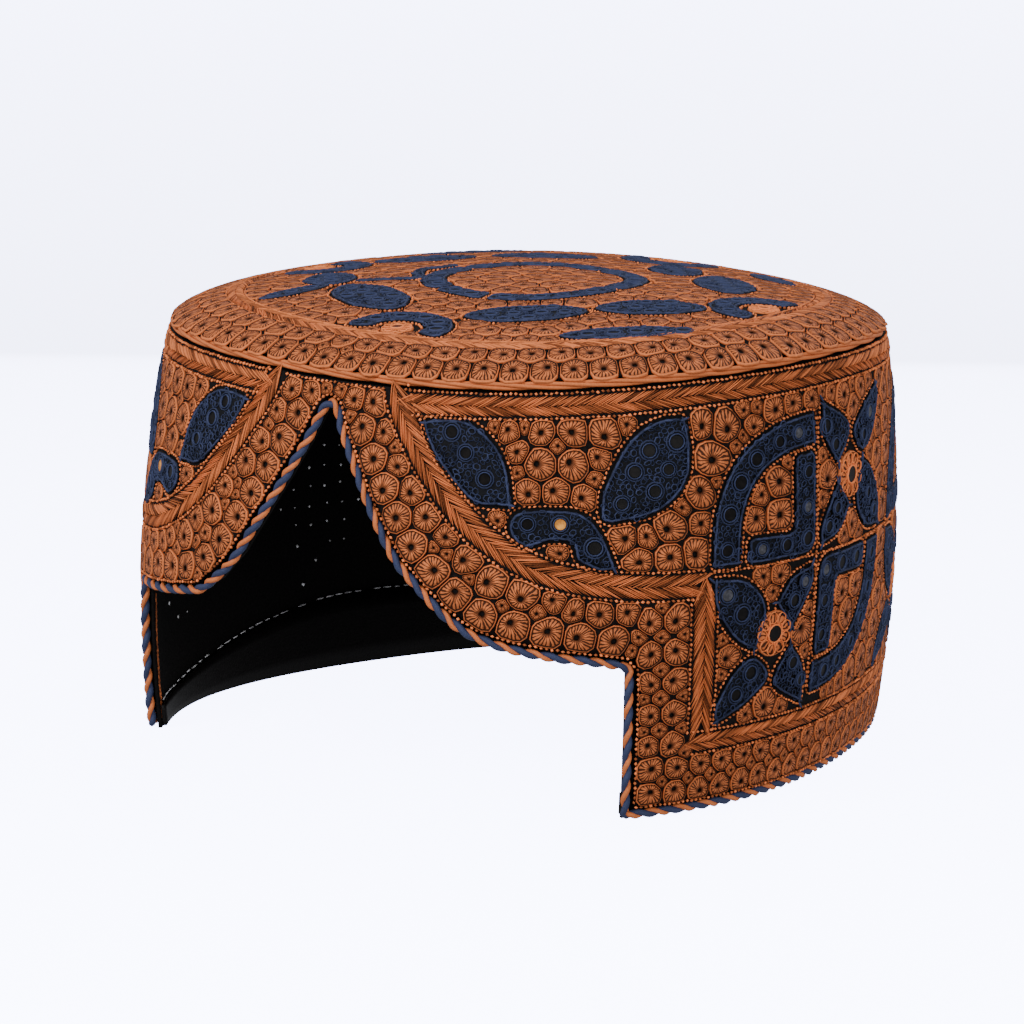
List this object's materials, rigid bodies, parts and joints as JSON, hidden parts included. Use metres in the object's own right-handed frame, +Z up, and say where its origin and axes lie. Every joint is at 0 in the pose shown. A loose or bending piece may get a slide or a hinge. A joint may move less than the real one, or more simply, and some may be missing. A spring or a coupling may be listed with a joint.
{
  "type": "sindhi cap",
  "caption": "Round embroidered cloth cap: slightly domed crown, upright wall cut away in front into two lobes that meet at a point, corded edges, dark lining and satin sweatband.",
  "frame": {"origin": "under the middle of the cap's box, on the surface that the foot stands on", "axes": "+Z up from the foot to the crown, -Y towards the opening in front, +X towards the right of someone who looks at the front"},
  "size_m": [0.191, 0.2, 0.1196],
  "materials": {
    "orange_stitching": "matt embroidery thread",
    "brown_cord": "matt two-ply cord",
    "two_colour_cord": "matt twisted cord, navy and brown",
    "black_lining": "matt woven cloth",
    "black_satin": "soft satin sheen",
    "navy_stitching": "matt looped thread"
  },
  "bodies": {
    "root": {"crown": "orange_stitching", "side_wall": "orange_stitching", "rim_cord": "brown_cord", "edge_cord": "two_colour_cord", "wall_lining": "black_lining", "sweatband": "black_satin", "lobe_right_leaf_upper": "navy_stitching", "lobe_right_leaf_side": "navy_stitching", "lobe_right_bar": "navy_stitching", "lobe_left_leaf_upper": "navy_stitching", "lobe_left_leaf_side": "navy_stitching", "lobe_left_bar": "navy_stitching", "medallion_1_frame_upper": "navy_stitching", "medallion_1_flower_upper": "navy_stitching", "medallion_1_frame_lower": "navy_stitching", "medallion_1_flower_lower": "navy_stitching", "medallion_2_frame_upper": "navy_stitching", "medallion_2_flower_upper": "navy_stitching", "medallion_2_frame_lower": "navy_stitching", "medallion_2_flower_lower": "navy_stitching", "medallion_3_frame_upper": "navy_stitching", "medallion_3_flower_upper": "navy_stitching", "medallion_3_frame_lower": "navy_stitching", "medallion_3_flower_lower": "navy_stitching", "medallion_4_frame_upper": "navy_stitching", "medallion_4_flower_upper": "navy_stitching", "medallion_4_frame_lower": "navy_stitching", "medallion_4_flower_lower": "navy_stitching", "medallion_5_frame_upper": "navy_stitching", "medallion_5_flower_upper": "navy_stitching", "medallion_5_frame_lower": "navy_stitching", "medallion_5_flower_lower": "navy_stitching", "crown_crescent_front": "navy_stitching", "crown_crescent_right": "navy_stitching", "crown_crescent_back": "navy_stitching", "crown_crescent_left": "navy_stitching", "crown_leaf_1": "navy_stitching", "crown_leaf_2": "navy_stitching", "crown_leaf_3": "navy_stitching", "crown_leaf_4": "navy_stitching", "crown_leaf_5": "navy_stitching", "crown_leaf_6": "navy_stitching", "crown_leaf_7": "navy_stitching", "crown_leaf_8": "navy_stitching", "crown_thin_leaf_right": "navy_stitching", "crown_thin_leaf_back": "navy_stitching", "crown_thin_leaf_left": "navy_stitching", "crown_thin_leaf_front": "navy_stitching", "crown_ring_1": "navy_stitching", "crown_ring_2": "navy_stitching", "crown_ring_3": "navy_stitching", "crown_ring_4": "navy_stitching", "crown_ring_5": "navy_stitching"}
  },
  "joints": []
}
